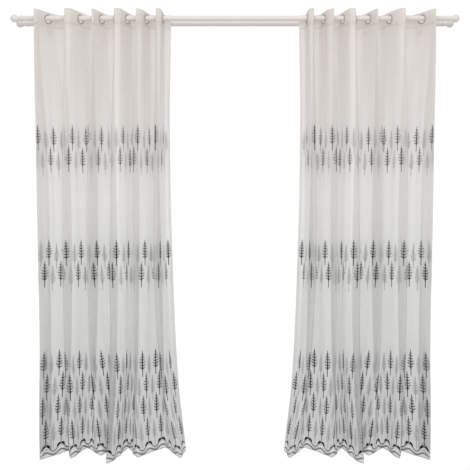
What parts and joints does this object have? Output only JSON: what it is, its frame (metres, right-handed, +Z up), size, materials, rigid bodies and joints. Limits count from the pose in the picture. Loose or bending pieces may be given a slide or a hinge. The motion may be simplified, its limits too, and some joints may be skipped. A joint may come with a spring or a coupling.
{
  "type": "voile curtain pair on a double rod",
  "caption": "Pair of full-length sheer eyelet curtains with embroidered bands of small trees, gathered on a double wall rod with ball finials.",
  "frame": {"origin": "on the wall plane, midway between the two wall plates and level with the rods' axes", "axes": "+X along the rods to the right as seen from the room, +Y into the wall, +Z up"},
  "size_m": [2.6026, 0.368, 2.556],
  "materials": {
    "voile": "sheer plain-weave voile, off-white, with grey embroidery",
    "heading_cloth": "doubled and stiffened voile, cream",
    "embroidery_thread": "matt embroidery thread, slate grey, with a paler grey in the border",
    "eyelet_metal": "satin taupe plating",
    "rod_paint": "satin cream enamel",
    "finial_paint": "satin cream enamel",
    "bracket_paint": "satin cream enamel"
  },
  "bodies": {
    "root": {"rod_front": "rod_paint", "finial_front_left": "finial_paint", "finial_front_right": "finial_paint", "rod_rear": "rod_paint", "finial_rear_left": "finial_paint", "finial_rear_right": "finial_paint", "arm_left": "bracket_paint", "wall_plate_left": "bracket_paint", "heading_left": "heading_cloth", "panel_left": "voile", "eyelet_left_01": "eyelet_metal", "eyelet_left_02": "eyelet_metal", "eyelet_left_03": "eyelet_metal", "eyelet_left_04": "eyelet_metal", "eyelet_left_05": "eyelet_metal", "eyelet_left_06": "eyelet_metal", "eyelet_left_07": "eyelet_metal", "eyelet_left_08": "eyelet_metal", "eyelet_left_09": "eyelet_metal", "eyelet_left_10": "eyelet_metal", "eyelet_left_11": "eyelet_metal", "eyelet_left_12": "eyelet_metal", "arm_right": "bracket_paint", "wall_plate_right": "bracket_paint", "heading_right": "heading_cloth", "panel_right": "voile", "eyelet_right_01": "eyelet_metal", "eyelet_right_02": "eyelet_metal", "eyelet_right_03": "eyelet_metal", "eyelet_right_04": "eyelet_metal", "eyelet_right_05": "eyelet_metal", "eyelet_right_06": "eyelet_metal", "eyelet_right_07": "eyelet_metal", "eyelet_right_08": "eyelet_metal", "eyelet_right_09": "eyelet_metal", "eyelet_right_10": "eyelet_metal", "eyelet_right_11": "eyelet_metal", "eyelet_right_12": "eyelet_metal"}
  },
  "joints": []
}
